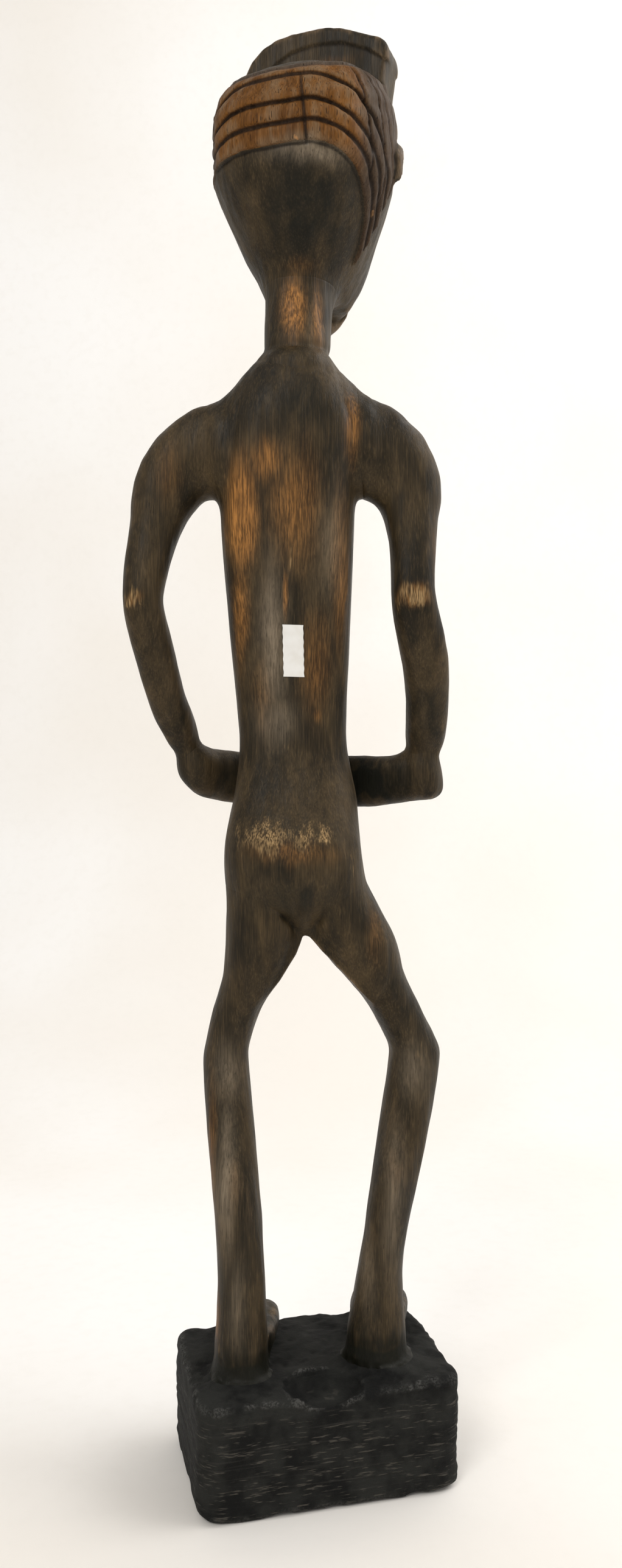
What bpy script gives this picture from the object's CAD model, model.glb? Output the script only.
"""A carved wooden ancestor figure on a black block, seen from behind.

Each CAD node's solid becomes a distance field. The fields are run together as one carving, the carved
detail is cut into the field, and each piece is then meshed as its own closed body. Lengths are in
millimetres until a mesh is made.
"""
import math

import bpy
import numpy as np
import openvdb as vdb
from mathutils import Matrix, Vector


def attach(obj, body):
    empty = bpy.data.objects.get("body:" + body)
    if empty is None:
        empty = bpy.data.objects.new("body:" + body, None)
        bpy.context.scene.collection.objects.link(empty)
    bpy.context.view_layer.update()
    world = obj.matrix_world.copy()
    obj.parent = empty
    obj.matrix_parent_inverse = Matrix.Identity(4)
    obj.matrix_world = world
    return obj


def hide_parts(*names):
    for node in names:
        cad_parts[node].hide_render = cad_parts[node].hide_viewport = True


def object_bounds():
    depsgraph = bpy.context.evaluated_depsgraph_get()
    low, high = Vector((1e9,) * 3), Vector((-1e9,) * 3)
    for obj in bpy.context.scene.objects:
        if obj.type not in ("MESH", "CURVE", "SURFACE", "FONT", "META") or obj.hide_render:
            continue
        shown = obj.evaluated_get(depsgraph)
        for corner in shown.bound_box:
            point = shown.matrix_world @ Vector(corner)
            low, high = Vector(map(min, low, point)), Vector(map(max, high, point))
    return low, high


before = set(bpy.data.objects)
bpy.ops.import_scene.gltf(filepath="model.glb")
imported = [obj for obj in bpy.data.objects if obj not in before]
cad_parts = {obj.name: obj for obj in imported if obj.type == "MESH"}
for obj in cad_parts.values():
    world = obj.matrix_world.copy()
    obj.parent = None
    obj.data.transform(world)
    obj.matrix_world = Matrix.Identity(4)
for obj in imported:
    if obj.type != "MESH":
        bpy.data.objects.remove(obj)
cad_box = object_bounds()

# ---------------------------------------------------------------- frames of reference

FIGURE_TURN = math.radians(-14)
FIGURE_PLACE = np.array([2.6, 0.0, 55.0])
HEAD_TURN = math.radians(-20)
HEAD_PLACE = np.array([3.4, -5.0, 535.0])
HAIR_TILT = math.radians(-17)
HAIR_PIVOT = 67.8


def turned(x, y, angle):
    """x and y turned by angle about the third axis."""
    c, s = math.cos(angle), math.sin(angle)
    return c * x - s * y, s * x + c * y


def to_figure(p):
    """Row frame to the figure's own frame: +X its left, -Y its front, Z up from the block's top."""
    x, y = turned(p[:, 0] - FIGURE_PLACE[0], p[:, 1] - FIGURE_PLACE[1], -FIGURE_TURN)
    return np.stack([x, y, p[:, 2] - FIGURE_PLACE[2]], 1)


def from_figure(p):
    """The figure's own frame back to the row frame."""
    p = np.asarray(p, float).reshape(-1, 3)
    x, y = turned(p[:, 0], p[:, 1], FIGURE_TURN)
    return np.stack([x, y, p[:, 2]], 1) + FIGURE_PLACE


def to_head(p):
    """Row frame to the head's own frame, with Z up from the jaw."""
    f = to_figure(p) - HEAD_PLACE
    x, y = turned(f[:, 0], f[:, 1], -HEAD_TURN)
    return np.stack([x, y, f[:, 2]], 1)


# ---------------------------------------------------------------- fields

VOXEL = 0.8
REACH = 8  # how many voxels of true distance each side of a surface holds
FAR = REACH * VOXEL
MARGIN = 5  # empty voxels round the CAD model
VERY_FAR = 1e9
BLUR_REACH = 2.5  # how far a blur's weights run, in sigmas
GROOVE_MARGIN = 6  # how far round a carved line its cut is worked out, in mm
WORKING_BAND = 3.2  # how far from its surface the carving is detailed, in mm
TABLE_SIZE = 65536
CELL_PRIMES = (73856093, 19349663, 83492791)

low = np.array(cad_box[0]) * 1000 - MARGIN * VOXEL
high = np.array(cad_box[1]) * 1000 + MARGIN * VOXEL
SHAPE = tuple(int(math.ceil(v)) + 1 for v in (high - low) / VOXEL)


def clip(v, a, b):
    return np.minimum(np.maximum(v, a), b)


def step(v, a, b):
    """0 below a, 1 above b, smooth between. It falls instead when b is below a."""
    t = clip((v - a) / (b - a), 0, 1)
    return t * t * (3 - 2 * t)


def blurred(field, sigma):
    """A Gaussian blur of sigma mm, one axis at a time. sigma is one number or three."""
    for axis, s in enumerate(np.broadcast_to(sigma, 3) / VOXEL):
        if s < 0.3:
            continue
        n = max(1, int(math.ceil(BLUR_REACH * s)))
        weights = np.exp(-0.5 * (np.arange(-n, n + 1) / s) ** 2)
        weights = (weights / weights.sum()).astype(np.float32)
        wide = np.pad(field, [(n, n) if a == axis else (0, 0) for a in range(3)], mode="edge")
        total = np.zeros_like(field)
        for i, w in enumerate(weights):
            cut = [slice(None)] * 3
            cut[axis] = slice(i, i + field.shape[axis])
            total += w * wide[tuple(cut)]
        field = total
    return field


def places_in(window):
    """Every voxel's place in a window of the grid, in mm, one row each."""
    axes = [np.arange(w.start, w.stop) * VOXEL + low[i] for i, w in enumerate(window)]
    return np.stack([v.ravel() for v in np.meshgrid(*axes, indexing="ij")], 1)


def distance_of(node, sigma):
    """(window, distances in mm) of one CAD node, over its own part of the grid."""
    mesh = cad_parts[node].data
    mesh.calc_loop_triangles()
    points = np.zeros(len(mesh.vertices) * 3, np.float32)
    mesh.vertices.foreach_get("co", points)
    corners = np.zeros(len(mesh.loop_triangles) * 3, np.int32)
    mesh.loop_triangles.foreach_get("vertices", corners)
    points = ((points.reshape(-1, 3) * 1000 - low) / VOXEL).astype(np.float32)
    grid = vdb.FloatGrid.createLevelSetFromPolygons(
        points, triangles=corners.reshape(-1, 3).astype(np.uint32), halfWidth=REACH
    )
    start = np.maximum(np.floor(points.min(0)).astype(int) - REACH, 0)
    stop = np.minimum(np.ceil(points.max(0)).astype(int) + REACH + 1, SHAPE)
    values = np.full(tuple(stop - start), REACH, np.float32)
    grid.copyToArray(values, ijk=tuple(int(v) for v in start))
    window = tuple(slice(int(a), int(b)) for a, b in zip(start, stop))
    return window, blurred(values * VOXEL, sigma)


def blended(a, b, soft):
    """The union of two fields with a fillet of about soft mm."""
    h = np.maximum(soft - np.abs(a - b), 0) / soft
    return np.minimum(a, b) - h * h * (soft / 4)


def noise(p, size, seed):
    """Smooth noise from -1 to 1 at points p. size is its grain in mm along each axis."""
    table = np.random.default_rng(seed).uniform(-1, 1, TABLE_SIZE).astype(np.float32)
    q = p / np.asarray(size, float)
    cell = np.floor(q).astype(np.int64)
    f = (q - cell).astype(np.float32)
    f = f * f * (3 - 2 * f)
    total = np.zeros(len(p), np.float32)
    for dx in (0, 1):
        for dy in (0, 1):
            for dz in (0, 1):
                key = (cell[:, 0] + dx) * CELL_PRIMES[0] ^ (cell[:, 1] + dy) * CELL_PRIMES[1]
                key = key ^ (cell[:, 2] + dz) * CELL_PRIMES[2]
                weight = np.where(dx, f[:, 0], 1 - f[:, 0]) * np.where(dy, f[:, 1], 1 - f[:, 1])
                total += table[key & (TABLE_SIZE - 1)] * weight * np.where(dz, f[:, 2], 1 - f[:, 2])
    return total


# How much each member's facets are softened, in mm
MEMBERS = {
    "torso": 2.4, "neck": 1.6, "head": 1.3, "left_arm": 2.0, "right_arm": 2.0, "left_hand": 2.4,
    "right_hand": 2.4, "left_leg": 2.2, "right_leg": 2.2, "crest": 0.8, "left_ear": 0.6, "right_ear": 0.6,
    "beard": 1.2, "left_foot": 1.0, "right_foot": 1.0, "base_block": 1.0,
}
SEAM_FILLET = 1.6


# The hollow between the heels: middle and radii in the row frame, and its steepness
SCOOP_MIDDLE = (3, 31, 56)
SCOOP_RADII = (19, 14.5, 10)
SCOOP_SLOPE = 11

# The hair's cap: softened, set in so that the rows can stand proud again, and full under the crest
CAP_SOFTEN = 1.3
CAP_INSET = 1.5
CAP_FILLET = 2.5
CREST_MIDDLE_Y = -17


def scooped(window, field):
    """The block with the deep hollow between the heels, which breaks through its back edge."""
    away = (places_in(window) - np.array(SCOOP_MIDDLE)) / np.array(SCOOP_RADII)
    hollow = np.sqrt((away[:, 0] ** 2 + away[:, 1] ** 2) + away[:, 2] ** 2).reshape(field.shape)
    gap = (hollow - 1) * SCOOP_SLOPE
    return np.maximum(field, -gap).astype(np.float32)


def row_height(h):
    """Height along the tilted hair rows."""
    c, s = math.cos(-HAIR_TILT), math.sin(-HAIR_TILT)
    return s * h[:, 1] + c * (h[:, 2] - HAIR_PIVOT) + HAIR_PIVOT


def capped(window, field):
    """The head with the hair's flat-topped cap filled in over the crown."""
    cap_window, cap = distance_of("hair_band", CAP_SOFTEN)
    wide = tuple(slice(min(a.start, b.start), max(a.stop, b.stop)) for a, b in zip(window, cap_window))
    spread = []
    for part, values in ((window, field), (cap_window, cap)):
        whole = np.full([w.stop - w.start for w in wide], FAR, np.float32)
        inner = tuple(slice(a.start - b.start, a.stop - b.start) for a, b in zip(part, wide))
        whole[inner] = values
        spread.append(whole)
    place = to_head(places_in(wide))
    under_crest = step(np.abs(place[:, 1] - CREST_MIDDLE_Y), 16, 12) * step(row_height(place), 92, 98)
    inset = CAP_INSET * (1 - under_crest)
    cap = spread[1] + inset.reshape(spread[1].shape)
    return wide, blended(spread[0], clip(cap, -FAR, FAR), CAP_FILLET).astype(np.float32)


carving = np.full(SHAPE, FAR, np.float32)
nearest = np.full(SHAPE, FAR, np.float32)
second = np.full(SHAPE, FAR, np.float32)
fields = {}
for name, soften in MEMBERS.items():
    window, field = distance_of(name, soften)
    if name == "base_block":
        field = scooped(window, field)
    if name == "head":
        window, field = capped(window, field)
    fields[name] = (window, field)
    carving[window] = blended(carving[window], field, SEAM_FILLET)
    second[window] = np.minimum(second[window], np.maximum(nearest[window], field))
    nearest[window] = np.minimum(nearest[window], field)

# Where members run into each other: middle in the figure's frame, radii, and the blur along x, y and z
RUN_TOGETHER = [
    ((38, 10, 238), (26, 44, 52), (3, 3, 11)), ((-26, 10, 238), (28, 44, 52), (3, 3, 11)),
    ((8, 38, 240), (34, 16, 28), (4, 4, 7)), ((8, -18, 240), (34, 16, 28), (4, 4, 7)),
    ((4, 0, 533), (40, 38, 30), (3, 3, 8)), ((6, 6, 496), (30, 28, 14), (3, 3, 3)),
    ((30, 6, 480), (26, 30, 26), (7, 4, 7)), ((-17, 6, 480), (26, 30, 26), (7, 4, 7)),
    ((44, 12, 452), (17, 30, 36), (7, 2.5, 5)), ((-30, 12, 452), (17, 30, 36), (7, 2.5, 5)),
    ((63, -10, 302), (24, 26, 26), (4, 4, 4)), ((-60, -10, 300), (24, 26, 24), (3, 3, 3)),
    ((34, 21, 3), (30, 30, 16), (5, 5, 4)), ((-34, 5, 3), (30, 30, 16), (5, 5, 4)),
]
# The gap between the thighs is a sharp fork: its edge in the figure's x and z, and the filling above it
FORK = [(26.0, 173), (6.7, 203.3), (2.6, 214.4), (-0.7, 213), (-22.2, 189.5), (-40.2, 156.5)]
FORK_MIDDLE = (-4, 8.5, 196)
FORK_HALF = (32, 9.5, 27)
FORK_WINDOW = (48, 26, 34)
FORK_FILLET = 5.5
FORK_TAPER = 6


def part_round(centre, radii, pad):
    """(slices of the grid round one place, the figure's coordinates of their voxels)."""
    middle = from_figure(centre)[0]
    half = np.array([max(radii[:2]), max(radii[:2]), radii[2]]) + pad
    first = np.maximum(np.floor((middle - half - low) / VOXEL).astype(int), 0)
    last = np.minimum(np.ceil((middle + half - low) / VOXEL).astype(int) + 1, SHAPE)
    part = tuple(slice(int(i), int(j)) for i, j in zip(first, last))
    return part, to_figure(places_in(part))


def from_path(p, path, start_at):
    """Each point's distance from a path, in the path's own number of dimensions."""
    best = np.full(len(p), start_at)
    for start, end in zip(path[:-1], path[1:]):
        along = np.subtract(end, start)
        t = clip((p - start) @ along / (along @ along), 0, 1)
        best = np.minimum(best, np.linalg.norm(p - start - t[:, None] * along, axis=1))
    return best


def run_together(centre, radii, sigma):
    """Blurs the carving round one place, so that its members flow into each other."""
    part, place = part_round(centre, radii, BLUR_REACH * max(sigma))
    away = np.linalg.norm((place - np.array(centre)) / np.array(radii), axis=1)
    share = step(away, 1.0, 0.55).reshape(carving[part].shape)
    carving[part] += (share * (blurred(carving[part], sigma) - carving[part])).astype(np.float32)


def fill_fork():
    """Fills between the thighs down to the fork's edge."""
    part, place = part_round(FORK_MIDDLE, FORK_WINDOW, 0)
    best = from_path(place[:, [0, 2]], FORK, VERY_FAR)
    edge_x, edge_z = np.array(FORK[::-1]).T
    below = place[:, 2] < np.interp(place[:, 0], edge_x, edge_z)
    wedge = np.where(below, best, -best)
    for axis in (1, 0, 2):
        wedge = np.maximum(wedge, np.abs(place[:, axis] - FORK_MIDDLE[axis]) - FORK_HALF[axis])
    wedge = wedge + FORK_TAPER * step(place[:, 2], 192, 171)
    wedge = wedge.reshape(carving[part].shape).astype(np.float32)
    carving[part] = blended(carving[part], clip(wedge, -FAR, FAR), FORK_FILLET)


# Bars that fill the notch over each shoulder: a path through the figure's frame, in mm
SHOULDER_BARS = [
    [(15, 7, 495), (37, 7, 471), (68, 6, 449)],
    [(-6, 7, 486), (-21, 7, 474), (-49, 6, 455)],
]
BAR_RADIUS = 8.6
BAR_WINDOW = (46, 30, 42)
BAR_FILLET = 4


def fill_bar(path):
    """Fills along one path with a rounded bar."""
    part, place = part_round(np.mean(path, 0), BAR_WINDOW, 0)
    bar = from_path(place, path, FAR + BAR_RADIUS) - BAR_RADIUS
    bar = bar.reshape(carving[part].shape).astype(np.float32)
    carving[part] = blended(carving[part], clip(bar, -FAR, FAR), BAR_FILLET)


fill_fork()
for path in SHOULDER_BARS:
    fill_bar(path)
for place_radii_reach in RUN_TOGETHER:
    run_together(*place_radii_reach)

# ---------------------------------------------------------------- carved detail

where = np.nonzero(np.abs(carving) < WORKING_BAND)
points = (np.stack(where, 1) * VOXEL + low).astype(np.float32)
level = carving[where]
figure = to_figure(points)
head = to_head(points)
marks = np.zeros(len(points), np.float32)  # how deep each place lies in a carved line, for its dark colour


def hair_place(h):
    """(angle round the head in degrees from its back towards its right, height along the tilted rows)."""
    return np.degrees(np.arctan2(-h[:, 0], h[:, 1])), row_height(h)


HAIR_LINES = [99.9, 87.5, 78.0]  # heights of the grooves at the back
HAIR_EDGE = 68.8  # the rows' lower edge at the back
HAIR_RIM = 107.0
HAIR_PROUD = 1.6
SIDE_PULL = [1.3, 1.0, 0.7, 0.35]  # how much each line, and the lower edge, comes down at the left
FRONT_EDGE = 75.0
ROW_GROOVE = (1.05, 1.15)  # width and depth
PART_ANGLE = 21.6  # where the upright parting line crosses the rows


def hair_sag(angle, left_pull):
    """How far a row has come down from its height at the back."""
    left = 0.0085 * clip(-18 - angle, 0, 42) ** 2 * left_pull
    right = 0.0095 * clip(angle - 22, 0, 82) ** 2
    return left + right


def mix_pull(angle):
    """The lower edge is pulled down less than the rows at the left of the back, and as much at the side."""
    return SIDE_PULL[3] + 0.3 * step(-angle, 50, 85)


def hair_region(h):
    """Negative inside the hair's band of rows, in mm."""
    angle, height = hair_place(h)
    side = HAIR_EDGE - hair_sag(angle, mix_pull(angle))
    front = step(np.abs(angle), 97, 110)
    edge = np.maximum(side, 6.0) * (1 - front) + FRONT_EDGE * front
    return np.maximum(edge - height, height - HAIR_RIM)


in_head_box = (head[:, 2] > -2) & (np.abs(head[:, 0]) < 56) & (np.abs(head[:, 1]) < 62)


def line_cut(distance, wide, deep):
    """A carved line's depth at a distance from its middle."""
    return deep * np.exp(-((distance / wide) ** 2))


def carve(amount, dark=1.0):
    """Cuts amount mm into the surface, and marks it dark."""
    global level, marks
    level = level + amount
    marks = np.maximum(marks, amount * dark)


region = np.full(len(points), 9.0, np.float32)
region[in_head_box] = hair_region(head[in_head_box])
angle, height = hair_place(head)
skull_window, skull_field = fields["head"]


def sampled(window, field):
    """One node's distances at the working points."""
    out = np.full(len(points), FAR, np.float32)
    inside = np.ones(len(points), bool)
    for axis in range(3):
        inside &= (where[axis] >= window[axis].start) & (where[axis] < window[axis].stop)
    local = tuple(where[axis][inside] - window[axis].start for axis in range(3))
    out[inside] = field[local]
    return out


skull_at = sampled(skull_window, skull_field)
crest_at = sampled(*fields["crest"])
near_skull = (np.abs(skull_at) < 5) * step(crest_at, 0.6, 3.4)

# the hair stands proud of the skull, least at its left, with grooves between its rows
proud = HAIR_PROUD * step(region, 0.5, -0.6) * near_skull * (1 - 0.85 * step(-angle, 38, 62))
level = level - proud
for i, line in enumerate(HAIR_LINES):
    sag = hair_sag(angle, SIDE_PULL[i])
    steep = 1 + 0.02 * clip(np.abs(angle) - 40, 0, 60)
    wobble = 0.35 * noise(head, (9, 9, 40), 11 + i)
    carve(line_cut((height - line + sag + wobble) / steep, *ROW_GROOVE) * (near_skull * (region < 0)))
carve(line_cut(height - HAIR_RIM + 2.6, 0.6, 0.7) * near_skull * (region < 1), 0.6)
part_line = line_cut((angle - PART_ANGLE + 0.12 * (height - 85)) * 0.72, 0.8, 0.8)
carve(part_line * near_skull * step(height, 66, 70) * step(height, 102, 97), 1.1)
carve(line_cut(height - HAIR_RIM - 0.6, 0.6, 0.6) * near_skull, 0.6)
for start, lean, top, bottom, deep in (
    (58.0, 0.35, 104, 50, 0.9), (70.0, 0.42, 101, 36, 0.7), (79.0, 0.45, 100, 52, 0.6),
    (-52.0, -0.2, 96, 66, 0.5), (-72.0, -0.3, 100, 40, 0.6), (92.0, 0.2, 96, 44, 0.6),
):
    away = (angle - start - lean * (97 - height)) * 0.75
    band = step(height, bottom - 3, bottom + 3) * step(height, top + 3, top - 3)
    carve(line_cut(away, 0.6, deep) * band * near_skull * (region < 0))
# tufts: fine upright ridges along each row
tufts = noise(np.stack([angle * 0.75, height * 0.12, height * 0], 1), (1.3, 1, 1), 21)
level = level + 0.16 * tufts * (region < 0) * near_skull
# the hair's lower edge is undercut a little
carve(line_cut(region - 0.7, 0.6, 0.5) * near_skull * (height < 92))

# the crest has a ledge near its top edge, and its back is hollowed below that
LEDGE_X = [-42, -33, -20, -3, 8, 16, 24]
LEDGE_Z = [117, 123.5, 129.5, 131.5, 130, 126, 119]
ledge = np.interp(head[:, 0], LEDGE_X, LEDGE_Z)
on_crest = (np.abs(crest_at) < 4) & (head[:, 2] > 96)
behind = step(head[:, 1], -14, -8)
drop = ledge - head[:, 2]
level = level + 0.9 * step(drop, -0.4, 0.9) * step(drop, 26, 8) * on_crest * behind
marks = np.maximum(marks, line_cut(drop - 1.0, 0.8, 0.5) * on_crest * behind)
front_face = step(head[:, 1], -20, -26)
level = level + 0.7 * step(drop, -0.4, 0.9) * step(drop, 26, 8) * on_crest * front_face


def blobs(frame_points, centre, radii):
    """A soft spot, 1 at its middle and 0 past its radii."""
    q = (frame_points - np.asarray(centre, float)) / np.asarray(radii, float)
    return np.exp(-1.6 * (q * q).sum(1))


def groove(path, wide, deep, frame_points, dark=1.0):
    """A carved line along a path in that frame."""
    path = np.asarray(path, float)
    above = frame_points > path.min(0) - GROOVE_MARGIN
    box = np.all(above & (frame_points < path.max(0) + GROOVE_MARGIN), 1)
    local = frame_points[box]
    amount = np.zeros(len(points), np.float32)
    amount[box] = line_cut(from_path(local, path, VERY_FAR), wide, deep)
    carve(amount, dark)


# the face: calm, with plain proportions (eyes half way up, mouth a third of the way from nose to chin)
HEAD_DEPTH = 98
HEAD_HEIGHT = 113
FRONT = -0.5 * HEAD_DEPTH
EYES = HEAD_HEIGHT * 0.5
MOUTH = HEAD_HEIGHT * 0.17
NOSTRILS = HEAD_HEIGHT * 0.27 - 2.5
for side in (-1, 1):
    lid = []
    for a in np.linspace(0, math.pi, 9):
        across, back = 16 + 8.2 * math.cos(a), 3.2 + 3.2 * math.cos(a) ** 2
        lid.append((side * across, FRONT + back, EYES + 1.5 * math.sin(a) - 0.4))
    lower = [(x, y, 2 * (EYES - 0.4) - z) for x, y, z in lid]
    groove(lid, 0.8, 1.0, head)
    groove(lower, 0.7, 0.7, head)
    groove([(side * 27, FRONT + 8, EYES + 9.5), (side * 16, FRONT + 1.5, EYES + 14.5),
            (side * 6, FRONT + 1, EYES + 11)], 0.8, 0.5, head)
    level = level + 1.6 * blobs(head, (side * 2.6, FRONT - 5.5, NOSTRILS), (1.6, 3, 1.6))
    level = level - 1.2 * blobs(head, (side * 21, FRONT + 7, 36), (12, 9, 10))
    groove([(side * 8, FRONT - 2, 32), (side * 14.5, FRONT + 3, 22)], 0.9, 0.35, head, 0.5)
    ear_x = side * 47.5
    groove([(ear_x, -17, 74), (ear_x + side, -11.5, 70), (ear_x, -13, 63)], 0.9, 0.9, head)
groove([(-10.5, FRONT + 1, MOUTH + 0.1), (-5, FRONT - 1.6, MOUTH - 0.6), (0, FRONT - 1.4, MOUTH - 0.2),
        (5, FRONT - 1.6, MOUTH - 0.6), (10.5, FRONT + 1, MOUTH + 0.1)], 0.8, 1.0, head)
level = level - 1.4 * blobs(head, (0, FRONT + 3, 6), (9, 6, 6))

# breast, navel and knees
for side, middle in ((-1, -12), (1, 32)):
    groove([(middle - 13, -14, 415), (middle, -21, 408), (middle + 12, -16, 414)], 1.6, 0.8, figure, 0.4)
    level = level - 1.2 * blobs(figure, (middle, -19, 418), (3, 4, 3))
level = level - 2.2 * blobs(figure, (7, -19, 322), (4, 5, 4))
groove([(7, -18, 408), (7.5, -19, 380), (7, -17, 345)], 2.4, 0.5, figure, 0.2)
level = level - 2.4 * blobs(figure, (41, -8, 150), (8, 7, 11))
level = level - 2.4 * blobs(figure, (-54, -20, 150), (8, 7, 11))
level = level - 1.6 * blobs(figure, (33, 30, 92), (9, 10, 24))
level = level - 1.4 * blobs(figure, (-44, 14, 92), (9, 10, 24))

# fingers and toes
FINGERS_Z = 288.5
LEFT_TOES_X = 30.5
RIGHT_TOES_X = -38.5
for rise in (-7.2, -0.6, 6.0):
    z = FINGERS_Z + rise
    groove([(7, -38, z), (20, -38.5, z + 0.3), (33, -36, z + 1.5)], 0.9, 1.2, figure)
    groove([(-2, -37.5, z), (-14, -37.5, z), (-28, -34, z)], 0.9, 1.2, figure)
for toe in (-9.2, -3.2, 2.8, 8.6):
    left, right = LEFT_TOES_X + toe, RIGHT_TOES_X + toe
    groove([(left, -38, 9), (left, -34, 14.6), (LEFT_TOES_X + toe * 0.9, -22, 15.4)], 0.9, 1.3, figure)
    groove([(right, -54, 9), (right, -50, 14.6), (-37.6 + toe * 0.9, -38, 15.4)], 0.9, 1.3, figure)

# a soft crease above the fork, and small cracks
groove([(6.5, 33, 236), (5.0, 31, 226), (3.2, 27, 217)], 2.2, 0.6, figure, 0.5)
groove([(7.5, 34, 233), (18, 34, 239), (28, 31, 242)], 2.8, 0.2, figure, 0.2)
groove([(7.5, 34, 233), (-2, 34, 239), (-13, 31, 241)], 2.8, 0.2, figure, 0.2)
groove([(-4.5, 31, 229), (-8, 29.5, 225), (-9.5, 28.5, 220)], 0.45, 0.8, figure)
groove([(81, 24, 373.5), (78, 24.5, 370), (76.5, 24, 368)], 0.7, 0.7, figure)

# shoulder steps down the back, and the collar
groove([(33, 24, 470), (36, 26, 455), (38.5, 26, 436), (40, 25, 424)], 2.0, 0.45, figure, 0.4)
groove([(-18, 24, 472), (-22.5, 26, 458), (-25, 26, 440), (-26.5, 25, 426)], 1.8, 0.5, figure, 0.5)
groove([(24, 16, 496), (16, 25, 491), (4, 27.5, 488), (-8, 23, 488), (-14, 14, 490)], 2.0, 0.5, figure, 0.5)

# the arms run flush into the back
level = level - 1.5 * blobs(figure, (44, 20, 450), (6, 12, 26))
level = level - 1.5 * blobs(figure, (-30, 20, 450), (6, 12, 26))

# knife facets and grain over all the wood, and a rougher, lumpier block with sawn sides and chipped edges
BLOCK_HALF = (65, 44)
wood = step(points[:, 2], 54, 60)
facets = 0.34 * noise(points, (9, 9, 26), 3) + 0.16 * noise(points, (4, 4, 13), 4)
grain = 0.07 * noise(points, (1.7, 1.7, 22), 5)
level = level + wood * (facets + grain)
block = 1 - wood
top_of_block = step(points[:, 2], 50, 53)
lumps = 0.75 * noise(points, (8, 8, 8), 6) + 0.45 * noise(points, (2.8, 2.8, 2.8), 7)
rows = noise(np.stack([points[:, 0] * 0.03, points[:, 1] * 0.03, points[:, 2]], 1), (1, 1, 1.9), 8)
saw = 0.3 * rows + 0.35 * noise(points, (11, 11, 4), 9)
swell = 0.5 + 0.9 * noise(points, (26, 26, 17), 13)
level = level + block * (top_of_block * lumps + (1 - top_of_block) * saw + clip(swell, 0, 2))
chips = clip(noise(points, (5, 5, 5), 10) - 0.35, 0, 1) * 1.6
from_sides = np.minimum(BLOCK_HALF[0] - np.abs(points[:, 0]), BLOCK_HALF[1] - np.abs(points[:, 1]))
near_edge = step(from_sides, 4, 0.5) * step(points[:, 2], 44, 53)
level = level + block * chips * near_edge
level = level + 1.6 * step(points[:, 2], 5, 1) * clip(noise(points, (8, 8, 8), 12) + 0.2, 0, 1) * block
# nothing stands outside the CAD model's own box
inside_low = np.array(cad_box[0]) * 1000 - points
inside_high = points - np.array(cad_box[1]) * 1000
level = np.maximum(level, np.maximum(inside_low.max(1), inside_high.max(1)))

carving[where] = level
dark = np.zeros(SHAPE, np.float32)
dark[where] = clip(marks, 0, 1.5)
grown = tuple(slice(max(w.start - 4, 0), min(w.stop + 4, n)) for w, n in zip(skull_window, SHAPE))
whole_region = hair_region(to_head(places_in(grown))).astype(np.float32).reshape(carving[grown].shape)

# ---------------------------------------------------------------- meshes


def value_at(field, p, origin):
    """Field values at points given in mm, between its samples."""
    q = (p - low) / VOXEL - origin
    base = np.floor(q).astype(int)
    base = np.stack([clip(base[:, a], 0, field.shape[a] - 2) for a in range(3)], 1)
    f = clip(q - base, 0, 1)
    total = 0
    for dx in (0, 1):
        for dy in (0, 1):
            for dz in (0, 1):
                weight = np.abs(1 - dx - f[:, 0]) * np.abs(1 - dy - f[:, 1]) * np.abs(1 - dz - f[:, 2])
                total = total + weight * field[base[:, 0] + dx, base[:, 1] + dy, base[:, 2] + dz]
    return total


def largest_body(count, faces):
    """Which points belong to the body with the most points."""
    label = np.arange(count)
    while True:
        before = label
        lowest = label[faces].min(1)
        label = label.copy()
        for i in range(faces.shape[1]):
            order = np.argsort(-lowest, kind="stable")
            label[faces[order, i]] = np.minimum(label[faces[order, i]], lowest[order])
        label = label[label]
        if np.array_equal(before, label):
            break
    values, sizes = np.unique(label[np.unique(faces)], return_counts=True)
    return label == values[sizes.argmax()]


def mesh_object(name, p, faces, material):
    """A smooth-shaded object from points in mm."""
    mesh = bpy.data.meshes.new(name)
    mesh.from_pydata((p / 1000).tolist(), [], faces.tolist())
    mesh.shade_smooth()
    mesh.materials.append(material)
    obj = bpy.data.objects.new(name, mesh)
    bpy.context.scene.collection.objects.link(obj)
    return obj


def surfaced(field, start):
    """(points in mm, faces) of a field's zero surface, keeping its largest body."""
    grid = vdb.FloatGrid()
    grid.copyFromArray(np.pad(field, 1, constant_values=FAR))
    p, quads = grid.convertToQuads(isovalue=0)
    p = (p + np.asarray(start) - 1) * VOXEL + low
    keep = largest_body(len(p), quads)
    quads = quads[keep[quads[:, 0]]]
    order = np.cumsum(keep) - 1
    return p[keep], order[quads][:, ::-1]


def paint(obj, name, values):
    """Writes one value to each point of a piece, for its material to read."""
    attribute = obj.data.attributes.new(name, "FLOAT", "POINT")
    attribute.data.foreach_set("value", np.ascontiguousarray(values, np.float32))


# ---------------------------------------------------------------- worn, pale and dark places

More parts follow.
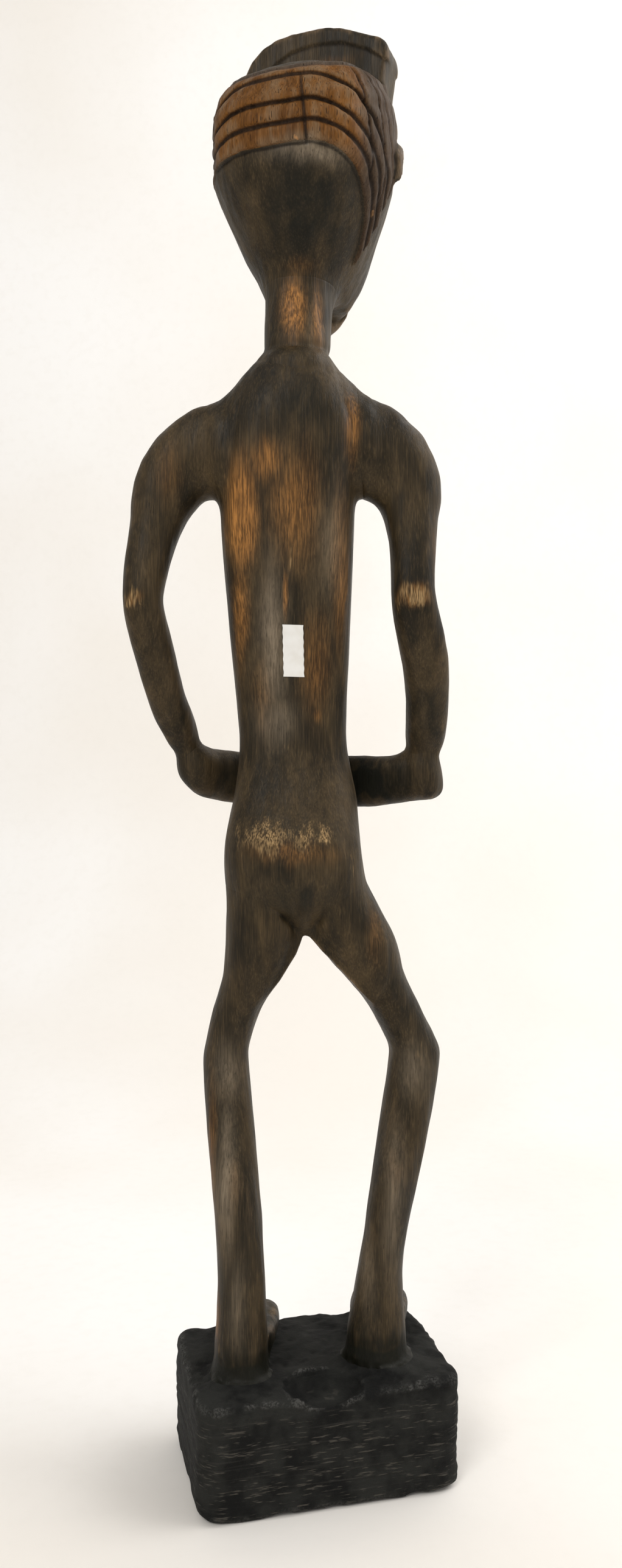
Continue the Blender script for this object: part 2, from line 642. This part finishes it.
# In the figure's frame: middle, radii, strength.
WORN = [
    ((7.7, 22, 522), (8.5, 14, 20), 1.15), ((-5.5, 20, 519), (4.5, 12, 24), 0.7),
    ((4, 26, 541), (15, 16, 7), 0.5),
    ((32, 26, 418), (10, 18, 30), 1.25), ((20, 30, 442), (12, 14, 14), 0.6),
    ((6, 30, 420), (18, 14, 40), 0.52), ((-21, 23, 460), (5.5, 12, 24), 0.62),
    ((10.5, 26, 379), (1.6, 8, 13), 1.0), ((33, 22, 372), (6, 14, 40), 0.6),
    ((-4.5, 21, 319), (3, 8, 6), 0.45), ((-4, 22, 345), (12, 14, 36), 0.4),
    ((-16, 22, 390), (7, 14, 54), 0.5), ((22, 22, 330), (9, 14, 30), 0.3),
    ((-8, -6, 655), (30, 14, 5), 0.3), ((42, -10, 560), (6, 20, 20), 0.3),
    ((8, 34, 254), (32, 16, 8), 0.4), ((-33, 24, 215), (7, 14, 26), 0.28),
    ((-51.4, 25, 379), (9, 14, 7), 0.9), ((84, 24, 377), (6, 12, 5), 0.5), ((47, 24, 100), (4, 14, 60), 0.45),
    ((45, 24, 30), (4, 14, 22), 0.5), ((68, 22, 440), (10, 14, 26), 0.3), ((-66, 22, 400), (8, 14, 30), 0.35),
]
PALE = [
    ((85.5, 24, 376.5), (7, 14, 5.5), 1.0), ((-51.4, 25, 379), (10, 14, 7.5), 1.15),
    ((20, 34, 260), (17, 16, 10), 0.95), ((2, 35, 262), (11, 14, 7.5), 0.8),
    ((-8, 33, 263), (6, 14, 6.5), 0.95),
    ((34, 28, 265), (3, 10, 12), 0.6), ((-22, 30, 250), (3.2, 10, 9), 0.5),
    ((-31, 26, 235), (3.5, 12, 10), 0.6), ((-40, 20, 218), (4, 12, 10), 0.5),
    ((17.7, -16, 14), (4, 12, 5), 0.8), ((42.5, 30, 13), (2.2, 9, 8), 0.9),
    ((-56, 12, 150), (4, 12, 12), 0.45), ((-21, 25, 457), (4, 10, 18), 0.3),
    ((-20, 22, 330), (2.4, 8, 9), 0.5), ((12, 21, 306), (7, 8, 3.5), 0.35), ((8, 27, 393), (1.2, 6, 9), 0.6),
]
SHEEN = [
    ((17, 25, 358), (7.5, 14, 42), 1.0), ((16, 22, 318), (12, 12, 14), 0.6),
    ((-2, 36, 588), (22, 16, 6), 1.0), ((39, 24, 146), (9, 16, 17), 0.6),
    ((-53, 12, 144), (9, 16, 16), 0.6), ((39, 28, 96), (5, 14, 42), 0.9),
    ((-42, 18, 84), (6, 14, 46), 0.7), ((-30, 14, 45), (5, 12, 20), 0.4),
    ((34, 30, 40), (5, 12, 26), 0.5), ((-12, 24, 402), (9, 12, 30), 0.35),
    ((44, 30, 210), (5, 14, 30), 0.3), ((-34, 20, 500), (20, 20, 10), 0.3),
]
SOOT = [
    ((2, 32, 470), (21, 16, 20), 0.75), ((4, 24, 492), (17, 18, 9), 0.5),
    ((0, 36, 562), (34, 28, 24), 1.1), ((-30, -20, 288), (36, 24, 18), 1.5),
    ((38, -20, 290), (30, 22, 16), 0.8), ((8, 30, 234), (26, 22, 17), 0.95),
    ((-58, 0, 330), (14, 22, 32), 0.85), ((66, 0, 325), (12, 22, 28), 0.45),
    ((20, 20, 205), (16, 18, 16), 0.4), ((-28, 16, 205), (12, 16, 16), 0.35),
    ((-30, -8, 648), (16, 16, 9), 0.5), ((70, 12, 420), (12, 20, 26), 0.3),
    ((-50, 12, 440), (12, 20, 20), 0.3),
]


def painted(obj, p):
    """Gives a piece's points their worn, pale, sheen, soot, line, edge and side values."""
    f = to_figure(p)
    drift = np.stack([1.4 * noise(p, (6, 6, 20), 31), 0 * p[:, 0], 3.0 * noise(p, (5, 5, 12), 32)], 1)
    g = to_figure(p + drift)
    fibrous = g + np.stack([0 * p[:, 0], 0 * p[:, 0], 4.5 * noise(p, (1.2, 1.2, 18), 34)], 1)
    for name, spots in (("worn", WORN), ("pale", PALE), ("sheen", SHEEN), ("soot", SOOT)):
        total = np.zeros(len(p))
        for centre, radii, strength in spots:
            total = np.maximum(total, strength * blobs(fibrous if name == "pale" else g, centre, radii))
        if name == "soot":
            foot_fade = step(f[:, 2], 24 + 8 * noise(p, (5, 5, 8), 33), 5)
            total = np.maximum(total, 1.25 * foot_fade)
        paint(obj, name, total)
    paint(obj, "line", value_at(dark, p, 0))
    paint(obj, "edge", value_at(relief, p, 0))
    around, tall = hair_place(to_head(p))
    paint(obj, "side", step(np.abs(around - 8), 42, 62))
    paint(obj, "rim", step(tall, HAIR_RIM - 4.2, HAIR_RIM - 2.2))


# ---------------------------------------------------------------- materials


class Look:
    """One material's nodes, with short calls for the ones used here."""

    def __init__(self, name):
        self.material = bpy.data.materials.new(name)
        self.material.use_nodes = True
        self.tree = self.material.node_tree
        self.shader = self.tree.nodes["Principled BSDF"]
        self.place = self.node("ShaderNodeTexCoord").outputs["Object"]

    def node(self, kind, **settings):
        made = self.tree.nodes.new(kind)
        for key, value in settings.items():
            setattr(made, key, value)
        return made

    def feed(self, socket, value):
        if isinstance(value, bpy.types.NodeSocket):
            self.tree.links.new(value, socket)
        elif isinstance(value, tuple) and len(value) == 3 and socket.type == "RGBA":
            socket.default_value = (*value, 1)
        else:
            socket.default_value = value

    def stretched(self, scale):
        made = self.node("ShaderNodeMapping")
        self.feed(made.inputs["Vector"], self.place)
        made.inputs["Scale"].default_value = scale
        return made.outputs[0]

    def noise(self, stretch, scale, detail=3.0, rough=0.55, distortion=0.0):
        made = self.node("ShaderNodeTexNoise")
        self.feed(made.inputs["Vector"], self.stretched(stretch))
        made.inputs["Scale"].default_value = scale
        made.inputs["Detail"].default_value = detail
        made.inputs["Roughness"].default_value = rough
        made.inputs["Distortion"].default_value = distortion
        return made.outputs["Fac"]

    def math(self, operation, *values, clamp=False):
        made = self.node("ShaderNodeMath", operation=operation, use_clamp=clamp)
        for socket, value in zip(made.inputs, values):
            self.feed(socket, value)
        return made.outputs[0]

    def range(self, value, low, high, to_low=0.0, to_high=1.0):
        made = self.node("ShaderNodeMapRange", interpolation_type="SMOOTHSTEP")
        for socket, v in zip(made.inputs, (value, low, high, to_low, to_high)):
            self.feed(socket, v)
        return made.outputs[0]

    def mix(self, amount, a, b, blend="MIX"):
        made = self.node("ShaderNodeMix", data_type="RGBA", blend_type=blend)
        self.feed(made.inputs[0], amount)
        self.feed(made.inputs[6], a)
        self.feed(made.inputs[7], b)
        return made.outputs[2]

    def mask(self, name):
        return self.node("ShaderNodeAttribute", attribute_name=name).outputs["Fac"]

    def bump(self, height, strength, distance, onto=None):
        made = self.node("ShaderNodeBump")
        made.inputs["Strength"].default_value = strength
        made.inputs["Distance"].default_value = distance
        self.feed(made.inputs["Height"], height)
        if onto is not None:
            self.feed(made.inputs["Normal"], onto)
        return made.outputs[0]

    def finish(self, colour, rough, normal, gloss):
        self.feed(self.shader.inputs["Base Color"], colour)
        self.feed(self.shader.inputs["Roughness"], rough)
        self.feed(self.shader.inputs["Normal"], normal)
        self.shader.inputs["Specular IOR Level"].default_value = gloss
        return self.material


def wood_look(name, dark_tone, mid_tone, light_tone, hair=False):
    """Stained, carved hardwood: grain and pores, worn orange and pale places, soot and dark cut lines."""
    k = Look(name)
    streak = k.noise((1, 1, 0.045), 240, 4, 0.62, 0.2)
    fine = k.noise((1, 1, 0.035), 1500, 3, 0.6)
    pores = k.noise((1, 1, 0.09), 1900, 1, 0.5)
    cloud = k.noise((1, 1, 0.5), 34, 3, 0.6)
    smear = k.noise((1, 1, 0.35), 95, 4, 0.65, 0.6)
    tone = k.math("ADD", k.math("MULTIPLY", cloud, 1.0), k.math("MULTIPLY", streak, 0.35))
    tone = k.math("ADD", tone, k.math("MULTIPLY", smear, 0.45))
    colour = k.mix(k.range(tone, 0.68, 1.14), dark_tone, mid_tone)
    colour = k.mix(k.range(fine, 0.5, 0.72, 0, 0.32), colour, light_tone)
    grey = k.math("MULTIPLY", k.mask("sheen"), k.range(streak, 0.32, 0.62, 0.72, 1.0))
    grey = k.math("MULTIPLY", grey, k.range(fine, 0.35, 0.6, 0.85, 1.0))
    worn_streak = k.range(streak, 0.34, 0.62, 0.88, 1.06)
    worn_amount = k.math("MULTIPLY", k.range(k.mask("worn"), 0.04, 0.95), worn_streak)
    worn_amount = k.math("MULTIPLY", worn_amount, k.range(fine, 0.36, 0.62, 0.8, 1.08))
    worn_tone = k.mix(k.range(fine, 0.34, 0.68), (0.195, 0.086, 0.022), (0.385, 0.172, 0.044))
    colour = k.mix(k.math("MULTIPLY", worn_amount, 0.95, clamp=True), colour, worn_tone)
    fibres = k.noise((1, 1, 0.12), 1300, 3, 0.6)
    pale_amount = k.math("ADD", k.mask("pale"), k.math("MULTIPLY", k.math("SUBTRACT", fibres, 0.5), 1.2))
    pale_tone = k.mix(k.range(pores, 0.4, 0.62), (0.100, 0.062, 0.027), (0.40, 0.262, 0.122))
    pale_shown = k.math("MULTIPLY", k.range(pale_amount, 0.2, 1.05), k.range(k.mask("pale"), 0.05, 0.35))
    colour = k.mix(k.math("MULTIPLY", pale_shown, 0.9), colour, pale_tone)
    soot = k.math("MULTIPLY", k.range(k.mask("soot"), 0, 1, 0, 0.95), k.range(smear, 0.36, 0.6, 1.0, 0.5))
    soot = k.math("MAXIMUM", soot, k.range(k.mask("soot"), 0.95, 1.2))
    colour = k.mix(soot, colour, (0.0078, 0.0078, 0.0044))
    colour = k.mix(grey, colour, (0.205, 0.162, 0.112))
    rubbed = k.math("MULTIPLY", k.range(k.mask("edge"), 0.12, 0.6, 0, 0.75), k.range(smear, 0.4, 0.62))
    colour = k.mix(rubbed, colour, (0.165, 0.108, 0.06))
    hollow = k.range(k.mask("edge"), -0.1, -0.7, 0, 0.6)
    colour = k.mix(hollow, colour, (0.009, 0.008, 0.006))
    if hair:
        colour = k.mix(k.math("MULTIPLY", k.mask("side"), 0.85), colour, (0.046, 0.034, 0.024))
        colour = k.mix(k.math("MULTIPLY", k.mask("rim"), 0.85), colour, (0.075, 0.062, 0.05))
    if hair:
        chips = k.noise((1, 1, 0.4), 230, 2, 0.5)
        colour = k.mix(k.range(chips, 0.7, 0.76, 0, 0.7), colour, (0.42, 0.22, 0.09))
    pits = k.range(pores, 0.36, 0.3, 0, 0.8 if hair else 0.45)
    colour = k.mix(pits, colour, (0.012, 0.008, 0.005))
    line = k.range(k.mask("line"), 0.08, 0.75, 0, 0.85)
    colour = k.mix(line, colour, (0.016, 0.011, 0.008))
    rough = k.math("ADD", k.range(streak, 0.35, 0.65, 0.44, 0.6), k.math("MULTIPLY", pale_shown, 0.2))
    rough = k.math("SUBTRACT", rough, k.math("MULTIPLY", k.mask("sheen"), 0.1))
    height = k.math("ADD", k.math("MULTIPLY", fine, 0.7), k.math("MULTIPLY", streak, 0.6))
    height = k.math("SUBTRACT", height, k.math("MULTIPLY", pits, 0.5))
    shade = k.math("MULTIPLY", k.range(fine, 0.32, 0.66, 0.82, 1.14), k.range(smear, 0.34, 0.66, 0.86, 1.12))
    colour = k.mix(1.0, colour, shade, "MULTIPLY")
    normal = k.bump(height, 0.6, 0.0005)
    return k.finish(colour, rough, normal, 0.08 if hair else 0.18)


def block_look():
    """Matt black stain over a sawn and hacked block, with brown wood and grey dust where it is rubbed."""
    k = Look("black_block")
    grit = k.noise((1, 1, 1), 900, 4, 0.7)
    cloud = k.noise((1, 1, 1), 60, 3, 0.6)
    flecks = k.noise((0.13, 0.13, 1), 950, 2, 0.6)
    height_up = k.node("ShaderNodeSeparateXYZ")
    k.feed(height_up.inputs[0], k.place)
    on_side = k.range(height_up.outputs[2], 0.049, 0.043)
    saw = k.noise((0.03, 0.03, 1), 420, 3, 0.6)
    colour = k.mix(k.range(cloud, 0.35, 0.66), (0.0064, 0.0066, 0.0062), (0.0225, 0.0228, 0.0205))
    lines = k.math("MULTIPLY", k.range(saw, 0.56, 0.72, 0, 0.5), on_side)
    colour = k.mix(lines, colour, (0.05, 0.047, 0.042))
    dashes = k.math("MULTIPLY", k.range(flecks, 0.58, 0.70, 0, 0.62), on_side)
    colour = k.mix(dashes, colour, (0.095, 0.086, 0.072))
    scuff = k.math("MULTIPLY", k.range(k.mask("edge"), 0.16, 0.75, 0, 0.85), k.range(cloud, 0.34, 0.58))
    scuff = k.math("MULTIPLY", scuff, k.range(grit, 0.42, 0.6))
    colour = k.mix(scuff, colour, (0.085, 0.083, 0.078))
    colour = k.mix(k.range(grit, 0.68, 0.8, 0, 0.4), colour, (0.06, 0.055, 0.05))
    colour = k.mix(k.range(k.mask("edge"), -0.15, -0.8, 0, 0.7), colour, (0.004, 0.004, 0.004))
    rough = k.range(cloud, 0.3, 0.7, 0.72, 0.88)
    height = k.math("ADD", grit, k.math("MULTIPLY", saw, 1.2))
    height = k.math("ADD", height, k.math("MULTIPLY", flecks, 0.5))
    return k.finish(colour, rough, k.bump(height, 0.8, 0.0008), 0.12)


def paper_look():
    """A blank paper label: white, with faint fibres and a slightly dirty edge."""
    k = Look("label_paper")
    fibre = k.noise((1, 1, 1), 1400, 4, 0.6)
    stain = k.noise((1, 1, 1), 120, 2, 0.5)
    colour = k.mix(k.range(stain, 0.4, 0.7, 0, 0.5), (0.86, 0.85, 0.82), (0.74, 0.71, 0.65))
    colour = k.mix(k.range(fibre, 0.55, 0.75, 0, 0.3), colour, (0.9, 0.9, 0.88))
    return k.finish(colour, k.range(fibre, 0.3, 0.7, 0.65, 0.8), k.bump(fibre, 0.3, 0.0001), 0.3)


stain = wood_look("stained_wood", (0.0160, 0.0118, 0.0054), (0.059, 0.0395, 0.0180), (0.102, 0.066, 0.031))
rows_look = wood_look("worn_hair", (0.094, 0.036, 0.0072), (0.195, 0.080, 0.0165), (0.28, 0.12, 0.031), True)
black = block_look()
paper = paper_look()

SLOTS = {"hair_band": (rows_look, "worn_hair"), "base_block": (black, "black_block")}
OVERLAP = 1.2  # how far a piece runs on inside its neighbour, in mm
SEAM_EASE = 3  # how far a piece's own surface sinks away past a seam
PIECE_REACH = 4  # how far a piece's surface may stand from its CAD node
BURIED = 2.4  # how far the skull sinks away under the hair
SHELL_DEPTH = 3.0
RELIEF_BLUR = 1.8

# what stands proud of the carving's blurred self, and what lies below it
relief = blurred(carving, RELIEF_BLUR) - carving


def finished(name, field, start):
    """Makes one piece from its field, in place of its CAD node."""
    p, faces = surfaced(field, start)
    look, slot = SLOTS.get(name, (stain, "stained_wood"))
    obj = mesh_object("carved_" + name, p, faces, look)
    painted(obj, p)
    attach(obj, "root")
    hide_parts(name)
    return obj


# each piece is the carving where its own node is nearer than the others, and runs on a little past that
for name, (window, field) in fields.items():
    others = np.where(field <= nearest[window] + 1e-6, second[window], nearest[window])
    share = (field - others) / 2
    own = carving[window] + 0.5 * clip(share, 0, SEAM_EASE)
    if name == "head":
        inner = tuple(slice(w.start - g.start, w.stop - g.start) for w, g in zip(window, grown))
        own = own + 0.5 * clip(-whole_region[inner], 0, BURIED)
    body = np.maximum(own, share - OVERLAP)
    body = np.maximum(body, field - PIECE_REACH)
    finished(name, body.astype(np.float32), [w.start for w in window])

# the hair's rows are a shell over the skull
others = np.full(SHAPE, FAR, np.float32)
for other in ("crest", "left_ear", "right_ear", "neck", "beard"):
    window, field = fields[other]
    others[window] = np.minimum(others[window], field)
head_here = np.full(SHAPE, FAR, np.float32)
head_here[skull_window] = skull_field
share = (head_here[grown] - others[grown]) / 2
shell = carving[grown] + 0.5 * clip(share, 0, SEAM_EASE)
body = np.maximum(shell, share - OVERLAP)
body = np.maximum(body, whole_region)
body = np.maximum(body, -head_here[grown] - SHELL_DEPTH)
finished("hair_band", body.astype(np.float32), [g.start for g in grown])

# ---------------------------------------------------------------- the blank paper label

LABEL_MIDDLE = (7.0, 351.6)
LABEL_SIZE = (10.0, 25.0)
across, up = 15, 33
u = np.linspace(-0.5, 0.5, across)
v = np.linspace(-0.5, 0.5, up)
grid_u, grid_v = np.meshgrid(u, v, indexing="ij")
ragged = 0.012 * np.sin(37 * grid_v + 1.3) * np.sign(grid_u) * (np.abs(grid_u) > 0.49)
x = LABEL_MIDDLE[0] + (grid_u + ragged) * LABEL_SIZE[0] + grid_v * 0.5
z = LABEL_MIDDLE[1] + grid_v * LABEL_SIZE[1] + grid_u * 0.25
front = np.full(x.shape, 10.0)
for y in np.arange(40, 10, -0.1):
    here = np.stack([x.ravel(), np.full(x.size, y), z.ravel()], 1)
    inside = (value_at(carving, from_figure(here), 0) < 0).reshape(x.shape)
    front = np.where((front == 10.0) & inside, y, front)
smooth = front.copy()
for _ in range(6):
    padded_front = np.pad(smooth, 1, mode="edge")
    smooth = (padded_front[:-2, 1:-1] + padded_front[2:, 1:-1] + padded_front[1:-1, :-2]
              + padded_front[1:-1, 2:]) / 4
front = np.maximum(front, smooth) + 0.12
curl = 0.55 * clip((grid_u - 0.2) + (grid_v - 0.3), 0, 1) ** 1.5 + 0.35 * clip(-grid_u - grid_v - 0.72, 0, 1)
outer = np.stack([x, front + 0.3 + curl, z], -1).reshape(-1, 3)
inner = np.stack([x, front + 0.05 + curl * 0.9, z], -1).reshape(-1, 3)
number = np.arange(across * up).reshape(across, up)
sheet = []
for i in range(across - 1):
    for j in range(up - 1):
        a, b, c, d = number[i, j], number[i + 1, j], number[i + 1, j + 1], number[i, j + 1]
        sheet += [(a, d, c, b), (a + across * up, b + across * up, c + across * up, d + across * up)]
rim = [*number[:, 0], *number[-1, 1:], *number[-2::-1, -1], *number[0, -2:0:-1]]
for a, b in zip(rim, rim[1:] + rim[:1]):
    sheet.append((a, b, b + across * up, a + across * up))
label_points = from_figure(np.concatenate([outer, inner]))
label = mesh_object("paper_label", label_points, np.array(sheet)[:, ::-1], paper)
label.data.set_sharp_from_angle(angle=0.9)
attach(label, "root")
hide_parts("price_label")

# ---------------------------------------------------------------- floor, light and camera


def stage_look():
    """Warm white paper, a little uneven."""
    k = Look("paper_sweep")
    wash = k.noise((1, 1, 1), 1.6, 3, 0.5)
    mottle = k.noise((1, 1, 1), 90, 4, 0.6)
    colour = k.mix(k.range(wash, 0.35, 0.7, 0, 1), (0.87, 0.83, 0.775), (0.935, 0.925, 0.91))
    colour = k.mix(k.range(mottle, 0.45, 0.7, 0, 0.12), colour, (0.82, 0.79, 0.74))
    return k.finish(colour, k.range(mottle, 0.3, 0.7, 0.85, 0.95), k.bump(mottle, 0.1, 0.001), 0.2)


back_wall, sweep, width, tall = -0.95, 0.45, 3.0, 2.6
profile = [(2.2, 0.0), (back_wall + sweep, 0.0)]
profile += [(back_wall + sweep - sweep * math.sin(a), sweep - sweep * math.cos(a))
            for a in np.linspace(0, math.pi / 2, 17)[1:]]
profile += [(back_wall, tall)]
sides = np.linspace(-width, width, 7)
sweep_points = np.array([turned(s, y, FIGURE_TURN) + (z,) for s in sides for y, z in profile]) * 1000
count = len(profile)
sweep_faces = np.array([(i * count + j, (i + 1) * count + j, (i + 1) * count + j + 1, i * count + j + 1)
                        for i in range(len(sides) - 1) for j in range(count - 1)])
floor = mesh_object("paper_sweep", sweep_points, sweep_faces, stage_look())

world = bpy.data.worlds.new("soft_room")
bpy.context.scene.world = world
world.use_nodes = True
world.node_tree.nodes["Background"].inputs["Color"].default_value = (1.0, 0.985, 0.965, 1)
world.node_tree.nodes["Background"].inputs["Strength"].default_value = 0.46


def lamp(name, place, aim, size, watts, colour):
    """A square area lamp that points at its aim."""
    data = bpy.data.lights.new(name, "AREA")
    data.size = size
    data.energy = watts
    data.color = colour
    obj = bpy.data.objects.new(name, data)
    bpy.context.scene.collection.objects.link(obj)
    from_to = np.array(aim) - np.array(place)
    obj.location = place
    flat = math.hypot(from_to[0], from_to[1])
    obj.rotation_euler = (math.atan2(flat, -from_to[2]), 0, math.atan2(-from_to[0], from_to[1]))
    return obj


lamp("window", (1.3, 1.6, 2.0), (0, 0, 0.35), 1.0, 27, (1, 0.985, 0.96))
lamp("room", (-1.7, 1.0, 1.4), (0, 0, 0.4), 1.5, 7, (1, 0.97, 0.93))
lamp("sweep_light", (-1.3, 0.1, 1.5), (-0.45, -0.95, 0.35), 1.2, 17, (1, 0.99, 0.98))

# a phone held level behind the figure, with its short lens
CAMERA_PLACE = (0.1486, 0.592, 0.342)
CAMERA_TURN = math.radians(166)
CAMERA_LENS = 27.71
CAMERA_SENSOR = 36
camera_data = bpy.data.cameras.new("camera")
camera_data.lens = CAMERA_LENS
camera_data.sensor_width = CAMERA_SENSOR
camera_data.clip_start = 0.05
camera = bpy.data.objects.new("camera", camera_data)
bpy.context.scene.collection.objects.link(camera)
camera.location = CAMERA_PLACE
camera.rotation_euler = (math.radians(90), 0, CAMERA_TURN)
bpy.context.scene.camera = camera
bpy.context.scene.view_settings.view_transform = "Standard"
